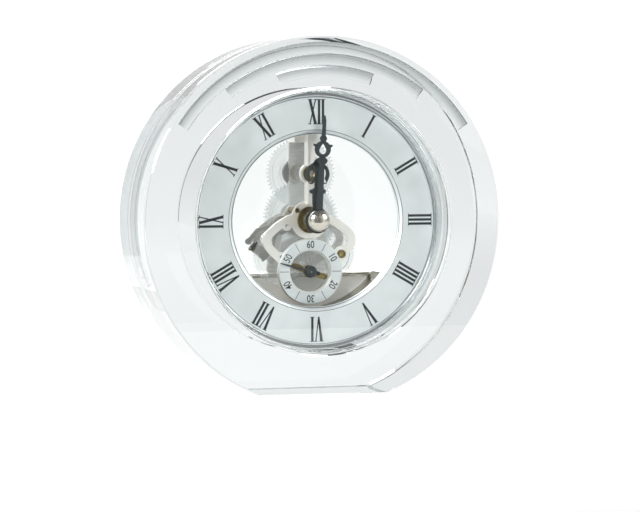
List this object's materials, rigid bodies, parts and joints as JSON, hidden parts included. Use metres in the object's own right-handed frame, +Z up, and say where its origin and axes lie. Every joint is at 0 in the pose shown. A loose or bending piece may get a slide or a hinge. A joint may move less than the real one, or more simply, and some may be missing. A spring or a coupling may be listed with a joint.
{
  "type": "mantel clock",
  "caption": "Round clear crystal mantel clock on a flat cut base, with a silver Roman dial ring and an open quartz skeleton movement in its bore.",
  "frame": {"origin": "centre of the flat cut base, at mid-thickness of the crystal block", "axes": "+X to the right as the dial is read, +Y from the dial to the back, +Z up"},
  "size_m": [0.15, 0.045, 0.145],
  "materials": {
    "crystal": "polished lead-free crystal",
    "glass": "clear mineral glass",
    "clear_plastic": "clear moulded acetal and acrylic",
    "polished_silver": "polished bright plating",
    "satin_silver": "fine turned satin silver",
    "satin_nickel": "warm satin nickel plate",
    "brass": "turned brass, darkened",
    "steel": "plain steel",
    "black_paint": "satin black enamel",
    "black_plastic": "moulded black plastic",
    "winding": "enamelled copper wire",
    "magnet": "bonded ferrite magnet",
    "silicone": "clear silicone sealing ring",
    "board": "green coated circuit board",
    "battery": "plain grey sleeve"
  },
  "bodies": {
    "clock": {"crystal_block": "crystal", "lens": "glass", "rear_cover": "clear_plastic", "bezel_ring": "polished_silver", "rear_ring": "polished_silver", "chapter_ring": "satin_silver", "seconds_dial": "satin_silver", "front_plate": "satin_nickel", "rear_plate": "satin_nickel", "top_block": "satin_nickel", "train_bridge": "satin_nickel", "battery_housing": "satin_nickel", "centre_sleeve": "brass", "minute_bush_front": "brass", "minute_bush_rear": "brass", "side_bush": "brass", "seconds_bridge": "brass", "bridge_pillar_left": "brass", "bridge_pillar_right": "brass", "coil_core": "steel", "stator": "steel", "strap_screw": "steel", "leg_screw_left": "steel", "leg_screw_right": "steel", "contact_positive": "steel", "contact_negative": "steel", "quartz_can": "steel", "coil_winding": "winding", "lens_gasket": "silicone", "circuit_board": "board", "battery_cell": "battery"},
    "seconds": {"seconds_wheel": "clear_plastic", "seconds_pinion": "clear_plastic", "seconds_hand": "black_paint"},
    "step": {"step_wheel": "clear_plastic", "step_pinion": "clear_plastic"},
    "rotor": {"rotor_pinion": "clear_plastic", "rotor_magnet": "magnet"},
    "third": {"third_wheel": "clear_plastic", "third_pinion": "clear_plastic"},
    "centre": {"centre_wheel": "clear_plastic", "centre_arbor": "steel"},
    "minute": {"cannon_pinion": "clear_plastic", "minute_hand": "black_paint", "hand_cap": "polished_silver"},
    "minute_wheel": {"minute_wheel": "clear_plastic", "minute_pinion": "clear_plastic", "setting_knob": "black_plastic"},
    "hour": {"hour_wheel": "clear_plastic", "hour_hand": "black_paint"},
    "door": {"battery_door": "satin_nickel"}
  },
  "joints": [
    {"name": "seconds_turn", "type": "hinge", "parent": "clock", "child": "seconds", "pos_m": [0, 0, 0.0487], "axis": [0, 1, 0], "continuous": true},
    {"name": "step_turn", "type": "hinge", "parent": "clock", "child": "step", "pos_m": [-0.012, 0, 0.0548], "axis": [0, 1, 0], "continuous": true},
    {"name": "rotor_turn", "type": "hinge", "parent": "clock", "child": "rotor", "pos_m": [-0.0097, 0, 0.0676], "axis": [0, 1, 0], "continuous": true},
    {"name": "third_turn", "type": "hinge", "parent": "clock", "child": "third", "pos_m": [0.0098, 0, 0.056], "axis": [0, 1, 0], "continuous": true},
    {"name": "centre_turn", "type": "hinge", "parent": "clock", "child": "centre", "pos_m": [0, 0, 0.07], "axis": [0, 1, 0], "continuous": true},
    {"name": "minute_turn", "type": "hinge", "parent": "clock", "child": "minute", "pos_m": [0, 0, 0.07], "axis": [0, 1, 0], "continuous": true},
    {"name": "minute_wheel_turn", "type": "hinge", "parent": "clock", "child": "minute_wheel", "pos_m": [0, 0, 0.089], "axis": [0, 1, 0], "continuous": true},
    {"name": "hour_turn", "type": "hinge", "parent": "clock", "child": "hour", "pos_m": [0, 0, 0.07], "axis": [0, 1, 0], "continuous": true},
    {"name": "door_slide", "type": "slide", "parent": "clock", "child": "door", "axis": [0, 1, 0], "range_m": [0, 0.015]}
  ],
  "couplings": [
    {"joint": "step_turn", "follows": "seconds_turn", "ratio": -5},
    {"joint": "rotor_turn", "follows": "seconds_turn", "ratio": 30},
    {"joint": "third_turn", "follows": "seconds_turn", "ratio": -0.13333},
    {"joint": "centre_turn", "follows": "seconds_turn", "ratio": 0.016667},
    {"joint": "minute_wheel_turn", "follows": "minute_turn", "ratio": -0.33333},
    {"joint": "hour_turn", "follows": "minute_turn", "ratio": 0.083333}
  ]
}
